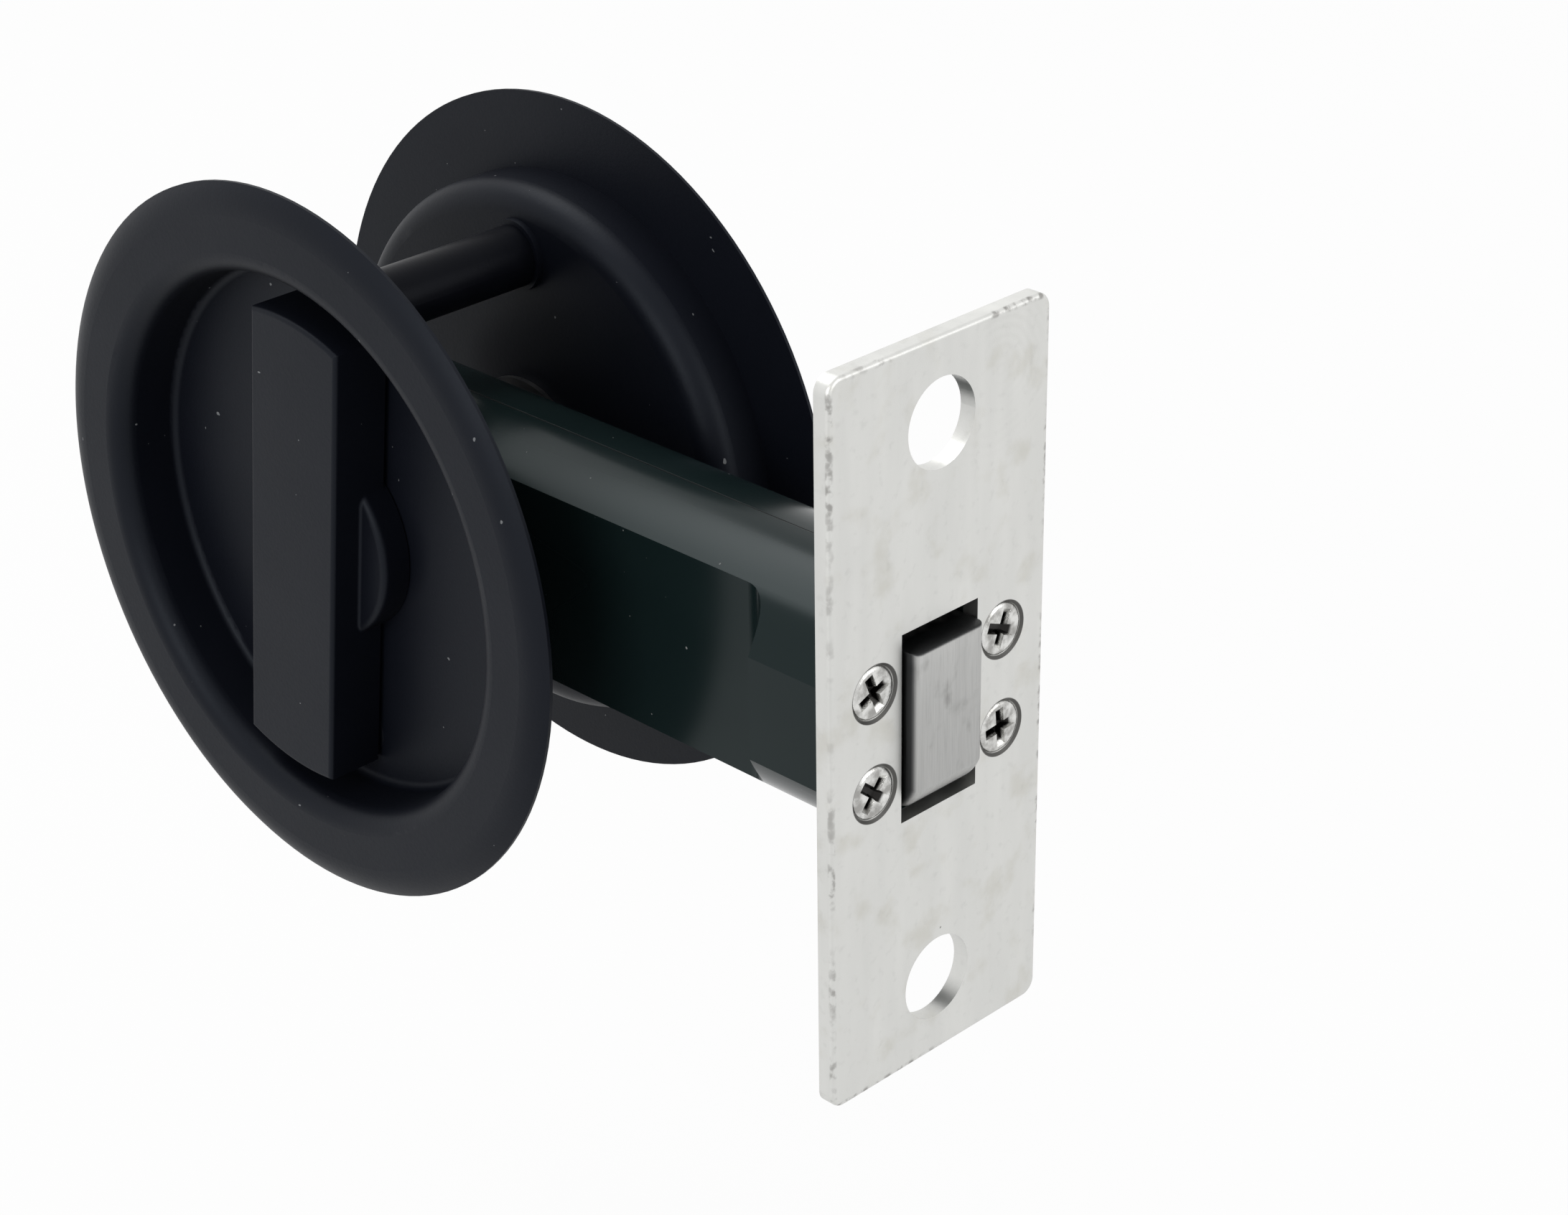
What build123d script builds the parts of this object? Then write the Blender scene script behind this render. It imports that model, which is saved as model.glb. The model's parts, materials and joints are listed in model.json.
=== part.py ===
from build123d import *
import os
from math import asin, cos, degrees, radians, sin, sqrt

os.makedirs("parts", exist_ok=True)

# Cavity sliding door lock, in millimetres.
# The origin is the centre of the face plate's front face. +X points out of the door's edge,
# +Y goes through the door from the turn bar's side to the release side, and +Z is up.

# Layout
backset = 60.0  # face plate's front to the axis of the turn
door_thickness = 32.0  # distance between the two flanges

# Face plate
plate_width = 24.6
plate_height = 63.7
plate_thickness = 1.5
plate_corner_r = 1.4
plate_edge_r = 0.35
window_width = 8.7
window_height = 16.7
plate_hole_r = 3.75
plate_hole_z = 24.7

# Screws that hold the plate to the case
plate_screw_y = 7.35
plate_screw_z = 4.42
plate_screw_r = 0.95
plate_screw_head_r = 2.1
plate_screw_length = 9.0
plate_sink_r = 2.5
plate_screw_angles = (22, 68, 50, 5)
cross_width = 0.55
cross_span = 2.6
cross_depth = 0.8
cross_taper = 12

# Latch case
case_r = 11.0
case_flat_y = 6.6
case_wall = 1.5
case_end_x = -71.5
case_end_r = 6.0
collar_length = 9.6
collar_flat = 1.0
collar_sweep_r = 3.3
nick_length = 1.3
nick_width = 1.4
nick_depth = 0.5
chamber_depth = 11.0
mouth_half_width = 4.3
mouth_top = 7.2
mouth_floor = -8.3
pillar_r = 2.0
pillar_foot_r = 3.4
pillar_x = (-22.0, -42.0)

# Screws that close the case
case_screw_r = 1.0
case_screw_head_r = 1.9
case_screw_head = 1.2

# Hook bolt
hook_width = 8.0
hook_face_x = 1.2
hook_top = 6.8
hook_bottom = -5.9
hook_edge_r = 1.5
hook_heel_r = 1.5
pin_inset = 0.1
hook_arm = 2.6
hook_claw = 3.2
hook_reach = 4.5
hook_pivot_x = -3.0
hook_pivot_z = -3.7
trunnion_r = 1.2
trunnion_length = 2.0
drive_pin_r = 0.9
tail_r = 1.9
fork_root = 0.7

# Slide plate and hub
slide_thickness = 2.0
slide_half_height = 4.0
slide_nose_wall = 0.7
slide_arm_top = 8.6
slide_lug = 2.4
slide_taper = 6.0
slide_root = 1.3
slide_root_slope = 1.7
slide_tip_slope = 2.0
guide_clear = 0.25
cam_clear = 0.2
tooth_orbit = 6.0
tooth_r = 1.2
tooth_waist = 1.8
hub_core_r = 4.2
hub_journal_r = 5.0
hub_flat = 0.4
cheek_margin = 0.15
groove_side = 0.4
quarter_turn = 90.0

# Leaf spring under the hub
leaf_thickness = 0.4
leaf_width = 5.0
leaf_half_span = 9.0
leaf_bow = 0.7
leaf_pad = 3.0

# Spindle and turn
spindle_side = 5.0
spindle_chamfer = 0.4
bar_lean = 7.3
bar_width = 11.3
bar_end_r = 22.0
bar_front = 1.0  # face of the bar, outwards from the door's face
bar_gap = 0.5  # under the bar's ends
bar_edge_r = 0.4
base_r = 8.9
base_rise = 2.95
base_edge_r = 0.6
bar_foot_r = 0.3
neck_r = 5.0
neck_length = 3.4
socket_reach = 0.8  # how far the spindle's socket goes past the cup's floor
ring_groove_depth = 0.7
ring_width = 1.5
ring_thickness = 0.8
ring_gap = 60.0
washer_thickness = 0.5
washer_rim = 2.5
button_rise = 3.0
coin_slot_width = 1.8
coin_slot_length = 13.0
coin_slot_depth = 1.5

# Flush pulls, as radius and as height outwards from the door's face
rose_r = 32.5
rose_front = 1.25
rose_rim_width = 2.7
rose_rim_drop = 0.95
recess_r = 24.6
recess_draft = 0.2
recess_depth = 4.9
recess_lip_r = 2.0
recess_floor_r = 0.7
sheet = 0.8
cup_back_r = 2.4

# Posts and their screws
post_r = 2.85
post_z = 19.5
post_tap_depth = 11.0
post_spigot_r = 2.0
post_spigot = 0.9
turn_boss_r = 4.6
turn_boss = 1.4
release_boss_r = 3.3
release_boss = 0.6
rose_screw_r = 1.75
rose_screw_head_r = 3.2
rose_screw_length = 11.0
rose_cross_width = 1.1
rose_cross_span = 4.2
rose_cross_angle = 30

# Clearances
running = 0.05  # shaft in its bore, and each side of a square
seat = 0.02  # pieces that are fixed together
face_gap = 0.15  # flat faces that slide past each other
free = 0.3  # pieces that pass each other freely

# Values that follow from the sizes above
case_front_x = -plate_thickness
collar_end_x = case_front_x - collar_length
collar_flat_y = case_r - collar_flat
cavity_r = case_r - case_wall
cavity_y = case_flat_y - case_wall
cavity_end_x = case_end_x + case_wall
chamber_end_x = case_front_x - chamber_depth
cheek_r = tooth_orbit + tooth_r + cheek_margin
groove_y = slide_thickness / 2 + groove_side
slide_travel = 2 * tooth_orbit * sin(radians(quarter_turn / 2))
travel_per_radian = slide_travel / radians(quarter_turn)
crank_r = travel_per_radian
tooth_drift = tooth_orbit * sin(radians(quarter_turn / 4)) - travel_per_radian * radians(quarter_turn / 4)
cup_r = recess_r + sheet
cup_back = recess_depth + sheet
door_face_y = door_thickness / 2
neck_end = recess_depth + neck_length
socket_end = recess_depth - socket_reach
pivot = (hook_pivot_x, hook_pivot_z)
turn_axis = Axis((-backset, 0, 0), (0, 1, 0))
hook_plane = Plane(origin=(hook_pivot_x, 0, hook_pivot_z), x_dir=(1, 0, 0), z_dir=(0, -1, 0))


def outward(side, height=0.0, lean=0.0):
    """Plane across the turn's axis, at a height outwards from the door's face on one side.

    Its local x runs along +X and its local y along +Z or -Z, both turned by the lean.
    """
    turned = (cos(radians(lean)), 0, -sin(radians(lean)))
    return Plane(origin=(-backset, side * (door_face_y + height), 0), x_dir=turned, z_dir=(0, side, 0))


def section(side):
    """Plane of a turned profile: local x is the radius, local y the height outwards."""
    return Plane(origin=(-backset, side * door_face_y, 0), x_dir=(1, 0, 0), z_dir=(0, 0, side))


def save(builder, name):
    builder.part.label = name
    export_step(builder.part, f"parts/{name}.step")


# Face plate

plate_screw_points = [
    (-plate_screw_y, plate_screw_z),
    (plate_screw_y, plate_screw_z),
    (-plate_screw_y, -plate_screw_z),
    (plate_screw_y, -plate_screw_z),
]

with BuildPart() as face_plate:
    with BuildSketch(Plane.YZ):
        Rectangle(plate_width, plate_height)
    extrude(amount=-plate_thickness)
    fillet(face_plate.edges().filter_by(Axis.X), plate_corner_r)
    fillet(face_plate.faces().sort_by(Axis.X)[-1].edges(), plate_edge_r)
    with BuildSketch(Plane.YZ):
        Rectangle(window_width, window_height)
        with Locations((0, plate_hole_z), (0, -plate_hole_z)):
            Circle(plate_hole_r)
    extrude(amount=-plate_thickness, mode=Mode.SUBTRACT)
    with Locations(Plane.YZ):
        with Locations(*plate_screw_points):
            CounterSinkHole(plate_screw_r + running, plate_sink_r, counter_sink_angle=90)
save(face_plate, "face_plate")


# Plate screws, sunk as deep as their heads sit in the wider countersinks

plate_screw_sink = plate_sink_r - plate_screw_head_r - seat
plate_screw_cone = plate_screw_head_r - plate_screw_r

with BuildPart() as plate_screws:
    with Locations(Plane.YZ.offset(-plate_screw_sink)):
        with Locations(*plate_screw_points):
            Cone(
                plate_screw_r,
                plate_screw_head_r,
                plate_screw_cone,
                align=(Align.CENTER, Align.CENTER, Align.MAX),
            )
            Cylinder(plate_screw_r, plate_screw_length, align=(Align.CENTER, Align.CENTER, Align.MAX))
    with BuildSketch(Plane.YZ.offset(-plate_screw_sink)):
        for point, angle in zip(plate_screw_points, plate_screw_angles):
            with Locations(point):
                Rectangle(cross_width, cross_span, rotation=angle)
                Rectangle(cross_span, cross_width, rotation=angle)
    extrude(amount=-cross_depth, taper=cross_taper, mode=Mode.SUBTRACT)
save(plate_screws, "plate_screws")


# Latch case, two half shells that meet on the seam at y = 0

leaf_top = -(cheek_r + free)
leaf_end_z = leaf_top - leaf_thickness / 2 - leaf_bow
leaf_pad_top = leaf_end_z - leaf_thickness / 2 - 2 * seat
crease_z = sqrt(case_r**2 - collar_flat_y**2)


def case_half(side):
    """One half shell, on the -Y side for side = -1 and on the +Y side for side = 1."""
    with BuildPart() as half:
        with BuildSketch(Plane.YZ.offset(case_front_x)):
            Circle(case_r)
            with Locations((side * case_r / 2, 0)):
                Rectangle(case_r, 2 * case_r, mode=Mode.INTERSECT)
        extrude(amount=case_end_x - case_front_x)
        # Rounded rear end, seen from the side
        with BuildSketch(Plane.XZ) as end_shape:
            with Locations(((case_end_x + case_front_x) / 2, 0)):
                Rectangle(case_front_x - case_end_x, 2 * case_r)
            fillet(end_shape.vertices().group_by(Axis.X)[0], case_end_r)
        extrude(amount=case_r, both=True, mode=Mode.INTERSECT)
        # Side flats, with a swept shoulder up to the collar
        with BuildSketch(Plane.XY) as flats:
            with BuildLine():
                Polyline(
                    (case_end_x - 1, side * case_flat_y),
                    (collar_end_x, side * case_flat_y),
                    (collar_end_x, side * collar_flat_y),
                    (case_front_x + 1, side * collar_flat_y),
                    (case_front_x + 1, side * (case_r + 1)),
                    (case_end_x - 1, side * (case_r + 1)),
                    close=True,
                )
            make_face()
            shoulder = flats.vertices().sort_by_distance(Vector(collar_end_x, side * case_flat_y, 0))[0]
            fillet(shoulder, collar_sweep_r)
        extrude(amount=case_r + 1, both=True, mode=Mode.SUBTRACT)
        # Nicks at the plate's end of the collar's creases
        nick_y = side * (collar_flat_y - nick_depth)
        nick_align = Align.MIN if side > 0 else Align.MAX
        with BuildSketch(Plane.YZ.offset(case_front_x)):
            with Locations((nick_y, crease_z), (nick_y, -crease_z)):
                Rectangle(case_r, nick_width, align=(nick_align, Align.CENTER))
        extrude(amount=-nick_length, mode=Mode.SUBTRACT)
        # Working space behind the collar
        with BuildSketch(Plane.YZ.offset(chamber_end_x)):
            Circle(cavity_r)
            Rectangle(2 * cavity_y, 2 * cavity_r, mode=Mode.INTERSECT)
        extrude(amount=cavity_end_x - chamber_end_x, mode=Mode.SUBTRACT)
        # Mouth for the hook
        with BuildSketch(Plane.YZ.offset(case_front_x)):
            with Locations((0, (mouth_top + mouth_floor) / 2)):
                Rectangle(2 * mouth_half_width, mouth_top - mouth_floor)
        extrude(amount=-chamber_depth, mode=Mode.SUBTRACT)
        # Sockets for the hook's trunnion and the hub's journal
        trunnion_socket = mouth_half_width + trunnion_length
        with BuildSketch(Plane.XZ.offset(-side * trunnion_socket)):
            with Locations(pivot):
                Circle(trunnion_r + running)
        extrude(amount=side * trunnion_socket, mode=Mode.SUBTRACT)
        with BuildSketch(Plane.XZ):
            with Locations((-backset, 0)):
                Circle(hub_journal_r + running)
        extrude(amount=-side * case_r, mode=Mode.SUBTRACT)
        # Feet of the pillars that guide the slide and take the case screws
        foot_y = slide_thickness / 2 + face_gap
        with BuildSketch(Plane.XZ.offset(-side * foot_y)):
            with Locations(*[(x, 0) for x in pillar_x]):
                Circle(pillar_foot_r)
        extrude(amount=-side * (cavity_y + seat - foot_y))
        # Pads for the ends of the leaf spring
        with BuildSketch(Plane.XZ):
            for end in (-1, 1):
                with Locations((-backset + end * leaf_half_span, leaf_pad_top)):
                    Rectangle(leaf_pad, cavity_r + leaf_pad_top, align=(Align.CENTER, Align.MAX))
        extrude(amount=-side * leaf_width / 2)
        # Holes for the plate screws
        with BuildSketch(Plane.YZ.offset(case_front_x)):
            with Locations((side * plate_screw_y, plate_screw_z), (side * plate_screw_y, -plate_screw_z)):
                Circle(plate_screw_r + running)
        extrude(amount=-plate_screw_length, mode=Mode.SUBTRACT)
        if side < 0:
            # The pillars stand on the near half
            with BuildSketch(Plane.XZ.offset(foot_y)):
                with Locations(*[(x, 0) for x in pillar_x]):
                    Circle(pillar_r)
            extrude(amount=-2 * foot_y)
            with BuildSketch(Plane.XZ.offset(-foot_y)):
                with Locations(*[(x, 0) for x in pillar_x]):
                    Circle(case_screw_r + seat)
            extrude(amount=foot_y + cavity_y, mode=Mode.SUBTRACT)
        else:
            with BuildSketch(Plane.XZ.offset(-case_flat_y)):
                with Locations(*[(x, 0) for x in pillar_x]):
                    Circle(case_screw_head_r + free)
            extrude(amount=case_screw_head, mode=Mode.SUBTRACT)
            with BuildSketch(Plane.XZ.offset(-case_flat_y)):
                with Locations(*[(x, 0) for x in pillar_x]):
                    Circle(case_screw_r + seat)
            extrude(amount=case_flat_y, mode=Mode.SUBTRACT)
    return half


case_near_half = case_half(-1)
save(case_near_half, "case_near_half")
case_far_half = case_half(1)
save(case_far_half, "case_far_half")


# Case screws, driven from the far side

case_screw_length = case_flat_y - case_screw_head + cavity_y - free
case_screw_seat = case_flat_y - case_screw_head + seat

with BuildPart() as case_screws:
    with BuildSketch(Plane.XZ.offset(-case_screw_seat)):
        with Locations(*[(x, 0) for x in pillar_x]):
            Circle(case_screw_head_r)
    extrude(amount=-(case_screw_head - 2 * seat))
    with BuildSketch(Plane.XZ.offset(-case_screw_seat)):
        with Locations(*[(x, 0) for x in pillar_x]):
            Circle(case_screw_r)
    extrude(amount=case_screw_length)
save(case_screws, "case_screws")


# Hook bolt: the arm fills the window, the claw points back until the hook swings out

hook_front = hook_face_x - hook_pivot_x
hook_high = hook_top - hook_pivot_z
hook_low = hook_bottom - hook_pivot_z
arm_back = hook_front - hook_arm
claw_under = hook_high - hook_claw
slot_half_width = slide_thickness / 2 + free
cam_half_width = drive_pin_r + cam_clear
nose_r = cam_half_width + slide_nose_wall
fork_x = nose_r + fork_root
fork_z = slide_travel - crank_r + nose_r + free
claw_tip = sqrt(hook_high**2 - hook_reach**2)
claw_sweep = degrees(asin(hook_reach / hook_high))

with BuildPart() as hook_bolt:
    with BuildSketch(hook_plane) as hook_shape:
        with BuildLine():
            CenterArc((0, 0), hook_high, 90, claw_sweep)
            Polyline(
                (-hook_reach, claw_tip),
                (-hook_reach, claw_under),
                (arm_back, claw_under),
                (arm_back, tail_r),
                (-crank_r, tail_r),
                (-crank_r, -tail_r),
                (0, hook_low),
                (hook_front, hook_low),
                (hook_front, hook_high),
                (0, hook_high),
            )
        make_face()
        heel = hook_shape.vertices().sort_by_distance(Vector(hook_front, hook_low, 0))[0]
        fillet(heel, hook_heel_r)
        with Locations((-crank_r, 0)):
            Circle(tail_r)
    extrude(amount=hook_width / 2, both=True)
    # Rounded upright edges of the face
    with BuildSketch(Plane.XY) as hook_plan:
        with Locations((hook_face_x, 0)):
            Rectangle(collar_length + hook_high, hook_width, align=(Align.MAX, Align.CENTER))
        fillet(hook_plan.vertices().group_by(Axis.X)[-1], hook_edge_r)
    extrude(amount=2 * hook_high, both=True, mode=Mode.INTERSECT)
    # Fork for the slide plate
    with BuildSketch(hook_plane):
        with Locations((fork_x, fork_z)):
            Rectangle(2 * hook_high, 2 * hook_high, align=(Align.MAX, Align.MAX))
    extrude(amount=slot_half_width, both=True, mode=Mode.SUBTRACT)
    # Trunnions and the hole for the drive pin
    with BuildSketch(Plane.XZ):
        with Locations(pivot):
            Circle(trunnion_r)
    extrude(amount=hook_width / 2 + trunnion_length, both=True)
    with BuildSketch(Plane.XZ):
        with Locations(pivot):
            Circle(trunnion_r + free)
    extrude(amount=slot_half_width, both=True, mode=Mode.SUBTRACT)
    with BuildSketch(Plane.XZ):
        with Locations((hook_pivot_x - crank_r, hook_pivot_z)):
            Circle(drive_pin_r + seat)
    extrude(amount=hook_width, both=True, mode=Mode.SUBTRACT)
save(hook_bolt, "hook_bolt")

with BuildPart() as hook_drive_pin:
    with BuildSketch(Plane.XZ):
        with Locations((hook_pivot_x - crank_r, hook_pivot_z)):
            Circle(drive_pin_r)
    extrude(amount=hook_width / 2 - pin_inset, both=True)
save(hook_drive_pin, "hook_drive_pin")


# Slide plate: cam slot for the hook's pin, guide slots for the pillars, notch for the hub's tooth


def cam_point(degrees_turned):
    """Centre of the drive pin seen from the slide, when the hook has turned so far."""
    turned = radians(degrees_turned)
    x = hook_pivot_x - crank_r * cos(turned) - travel_per_radian * turned
    return (x, hook_pivot_z + crank_r * sin(turned))


cam_steps = 6
cam_points = [cam_point(quarter_turn * step / cam_steps) for step in range(cam_steps + 1)]
tooth_rest_x = -backset - slide_travel / 2
notch_half_width = tooth_r + tooth_drift + cam_clear
notch_top = cheek_r + free
slide_arm_low = hub_core_r + free
slide_rear_x = tooth_rest_x - notch_half_width - slide_lug
slide_band_end = -backset + hub_core_r + slide_root
slide_front_x = cam_points[-1][0]

with BuildPart() as slide_plate:
    with BuildSketch(Plane.XZ) as slide_shape:
        with BuildLine():
            Polyline(
                (slide_front_x, cam_points[-1][1] + nose_r),
                (slide_front_x - slide_taper, slide_half_height),
                (slide_band_end + 2 * slide_root_slope, slide_half_height),
                (slide_band_end + slide_root_slope, slide_arm_top),
                (slide_rear_x, slide_arm_top),
                (slide_rear_x, slide_arm_low),
                (slide_band_end, slide_arm_low),
                (slide_band_end, -slide_half_height),
                (slide_front_x - slide_taper, -slide_half_height),
                (cam_points[0][0] - slide_tip_slope, hook_pivot_z - nose_r),
                (cam_points[0][0], hook_pivot_z - nose_r),
                cam_points[0],
                close=True,
            )
        make_face()
        with BuildLine() as cam_line:
            Spline(*cam_points)
        trace(cam_line.line, 2 * nose_r)
        with Locations(cam_points[0], cam_points[-1]):
            Circle(nose_r)
        trace(cam_line.line, 2 * cam_half_width, mode=Mode.SUBTRACT)
        with Locations(cam_points[0], cam_points[-1]):
            Circle(cam_half_width, mode=Mode.SUBTRACT)
        for x in pillar_x:
            with Locations((x - slide_travel / 2, 0)):
                SlotCenterToCenter(slide_travel, 2 * (pillar_r + guide_clear), mode=Mode.SUBTRACT)
        with Locations((tooth_rest_x, notch_top)):
            Rectangle(2 * notch_half_width, notch_top, align=(Align.CENTER, Align.MAX), mode=Mode.SUBTRACT)
    extrude(amount=slide_thickness / 2, both=True)
save(slide_plate, "slide_plate")


# Hub: two cheeks with a groove for the slide, a tooth across the groove and a square hole

hub_half = cavity_y - face_gap
tooth_angle = -quarter_turn / 2

with BuildPart() as hub:
    with BuildSketch(Plane.XZ):
        with Locations((-backset, 0)):
            Circle(cheek_r)
    extrude(amount=hub_half, both=True)
    # Flats for the leaf spring, one below at rest and one below after the quarter turn
    with BuildSketch(Plane.XZ):
        with Locations((-backset, -cheek_r + hub_flat)):
            Rectangle(2 * cheek_r, cheek_r, align=(Align.CENTER, Align.MAX))
        with Locations((-backset + cheek_r - hub_flat, 0)):
            Rectangle(cheek_r, 2 * cheek_r, align=(Align.MIN, Align.CENTER))
    extrude(amount=hub_half, both=True, mode=Mode.SUBTRACT)
    # Journals that turn in the case's walls
    with BuildSketch(Plane.XZ):
        with Locations((-backset, 0)):
            Circle(hub_journal_r)
    extrude(amount=case_flat_y, both=True)
    # Groove for the slide, with the tooth left across it
    with BuildSketch(Plane.XZ):
        with Locations((-backset, 0)):
            Circle(2 * cheek_r)
            Circle(hub_core_r, mode=Mode.SUBTRACT)
            with PolarLocations(tooth_orbit, 1, start_angle=90 - tooth_angle):
                Circle(tooth_r, mode=Mode.SUBTRACT)
                Rectangle(tooth_orbit, tooth_waist, align=(Align.MAX, Align.CENTER), mode=Mode.SUBTRACT)
    extrude(amount=groove_y, both=True, mode=Mode.SUBTRACT)
    # Square hole for the spindle
    with BuildSketch(Plane.XZ):
        with Locations((-backset, 0)):
            Rectangle(spindle_side + 2 * running, spindle_side + 2 * running, rotation=-bar_lean)
    extrude(amount=case_r, both=True, mode=Mode.SUBTRACT)
save(hub, "hub")


# Leaf spring that holds the hub at either end of its turn

with BuildPart() as detent_spring:
    with BuildSketch(Plane.XZ):
        with BuildLine() as leaf_line:
            ThreePointArc(
                (-backset - leaf_half_span, leaf_end_z),
                (-backset, leaf_top - leaf_thickness / 2),
                (-backset + leaf_half_span, leaf_end_z),
            )
        trace(leaf_line.line, leaf_thickness)
    extrude(amount=leaf_width / 2, both=True)
save(detent_spring, "detent_spring")


# Square spindle through the hub, in the sockets of both necks

spindle_half = door_face_y - socket_end - free

with BuildPart() as spindle:
    with BuildSketch(Plane.XZ):
        with Locations((-backset, 0)):
            Rectangle(spindle_side, spindle_side, rotation=-bar_lean)
    extrude(amount=spindle_half, both=True)
    ends = spindle.faces().sort_by(Axis.Y)
    chamfer(ends[0].edges() + ends[-1].edges(), spindle_chamfer)
save(spindle, "spindle")


# Flush pulls


def rose(side, boss_r, boss_height):
    """Dished cup with a flange, and two bosses behind its floor for the posts."""
    with BuildPart() as cup:
        with BuildSketch(section(side)) as profile:
            with BuildLine():
                Polyline(
                    (rose_r, rose_front - rose_rim_drop),
                    (rose_r, 0),
                    (cup_r, 0),
                    (cup_r, -cup_back),
                    (neck_r + running, -cup_back),
                    (neck_r + running, -recess_depth),
                    (recess_r - recess_draft, -recess_depth),
                    (recess_r, rose_front),
                    (rose_r - rose_rim_width, rose_front),
                )
                TangentArc(
                    (rose_r - rose_rim_width, rose_front),
                    (rose_r, rose_front - rose_rim_drop),
                    tangent=(1, 0),
                )
            make_face()

            def corner(r, height):
                return profile.vertices().sort_by_distance(Vector(r, height, 0))[0]

            fillet(corner(recess_r, rose_front), recess_lip_r)
            fillet(corner(recess_r - recess_draft, -recess_depth), recess_floor_r)
            fillet(corner(cup_r, -cup_back), cup_back_r)
        revolve(axis=turn_axis)
        with BuildSketch(outward(side, -recess_depth - sheet / 2)):
            with Locations((0, post_z), (0, -post_z)):
                Circle(boss_r)
        extrude(amount=-sheet / 2 - boss_height)
    return cup.part


post_points = [(0, post_z), (0, -post_z)]

with BuildPart() as turn_rose:
    add(rose(-1, turn_boss_r, turn_boss))
    with Locations(outward(-1, -recess_depth)):
        with Locations(*post_points):
            CounterSinkHole(rose_screw_r + running, rose_screw_head_r + running, counter_sink_angle=90)
save(turn_rose, "turn_rose")

with BuildPart() as release_rose:
    add(rose(1, release_boss_r, release_boss))
    with BuildSketch(outward(1, -cup_back - release_boss)):
        with Locations(*post_points):
            Circle(post_spigot_r + seat)
    extrude(amount=post_spigot + seat, mode=Mode.SUBTRACT)
save(release_rose, "release_rose")


# Posts, staked in the far pull, with a tapped end against the near one

post_root_y = door_face_y - cup_back - release_boss - seat
post_tip_y = -(door_face_y - cup_back - turn_boss - seat)

with BuildPart() as fixing_posts:
    with BuildSketch(Plane.XZ.offset(-post_root_y)):
        with Locations((-backset, post_z), (-backset, -post_z)):
            Circle(post_r)
    extrude(amount=post_root_y - post_tip_y)
    with BuildSketch(Plane.XZ.offset(-post_root_y)):
        with Locations((-backset, post_z), (-backset, -post_z)):
            Circle(post_spigot_r)
    extrude(amount=-post_spigot)
    with BuildSketch(Plane.XZ.offset(-post_tip_y)):
        with Locations((-backset, post_z), (-backset, -post_z)):
            Circle(rose_screw_r + seat)
    extrude(amount=-post_tap_depth, mode=Mode.SUBTRACT)
save(fixing_posts, "fixing_posts")


# Countersunk screws in the floor of the near pull, under the bar

with BuildPart() as rose_screws:
    with Locations(outward(-1, -recess_depth - seat)):
        with Locations(*post_points):
            Cone(
                rose_screw_r,
                rose_screw_head_r,
                rose_screw_head_r - rose_screw_r,
                align=(Align.CENTER, Align.CENTER, Align.MAX),
            )
            Cylinder(rose_screw_r, rose_screw_length, align=(Align.CENTER, Align.CENTER, Align.MAX))
    with BuildSketch(outward(-1, -recess_depth - seat)):
        for point in post_points:
            with Locations(point):
                Rectangle(rose_cross_width, rose_cross_span, rotation=rose_cross_angle)
                Rectangle(rose_cross_span, rose_cross_width, rotation=rose_cross_angle)
    extrude(amount=-cross_depth, taper=cross_taper, mode=Mode.SUBTRACT)
save(rose_screws, "rose_screws")


# Turn bar and release button, each on a neck through its cup

washer_back = cup_back + seat + washer_thickness
ring_front = washer_back + seat
ring_r = neck_r - ring_groove_depth + running


def neck(side, rise, edge_r):
    """Round base on the cup's floor and its neck, with the ring's groove and the spindle's socket."""
    with BuildPart() as piece:
        with BuildSketch(outward(side, -recess_depth + face_gap)):
            Circle(base_r)
        extrude(amount=rise - face_gap)
        base_top = piece.faces().sort_by(Axis((0, 0, 0), (0, side, 0)))[-1]
        fillet(base_top.edges(), edge_r)
        with BuildSketch(outward(side, -neck_end)):
            Circle(neck_r)
        extrude(amount=neck_end - recess_depth + rise)
        with BuildSketch(outward(side, -ring_front + seat)):
            Circle(base_r)
            Circle(neck_r - ring_groove_depth, mode=Mode.SUBTRACT)
        extrude(amount=-ring_thickness - 2 * seat, mode=Mode.SUBTRACT)
        with BuildSketch(outward(side, -neck_end, bar_lean)):
            Rectangle(spindle_side + 2 * running, spindle_side + 2 * running)
        extrude(amount=neck_end - socket_end, mode=Mode.SUBTRACT)
    return piece.part


with BuildPart() as turn_bar:
    add(neck(-1, base_rise, base_edge_r))
    with BuildSketch(outward(-1, bar_front, bar_lean)):
        Circle(bar_end_r)
        Rectangle(bar_width, 2 * bar_end_r, mode=Mode.INTERSECT)
    extrude(amount=-(bar_front + recess_depth - bar_gap))
    fillet(turn_bar.faces().sort_by(Axis.Y)[0].edges(), bar_edge_r)
    # Small concave foot along the bar's sides, where they meet the base
    foot_y = -(door_face_y - recess_depth + base_rise)
    foot_lines = turn_bar.edges().filter_by(GeomType.LINE).filter_by_position(Axis.Y, foot_y - seat, foot_y + seat)
    fillet(foot_lines, bar_foot_r)
save(turn_bar, "turn_bar")

with BuildPart() as release_button:
    add(neck(1, button_rise, bar_edge_r))
    with BuildSketch(outward(1, -recess_depth + button_rise, bar_lean)):
        SlotOverall(coin_slot_length, coin_slot_width, rotation=90)
    extrude(amount=-coin_slot_depth, mode=Mode.SUBTRACT)
save(release_button, "release_button")


def washer(side):
    """Thin washer between a cup's back and the ring."""
    with BuildPart() as disc:
        with BuildSketch(outward(side, -cup_back - seat)):
            Circle(neck_r + washer_rim)
            Circle(neck_r + running, mode=Mode.SUBTRACT)
        extrude(amount=-washer_thickness)
    return disc


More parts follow.
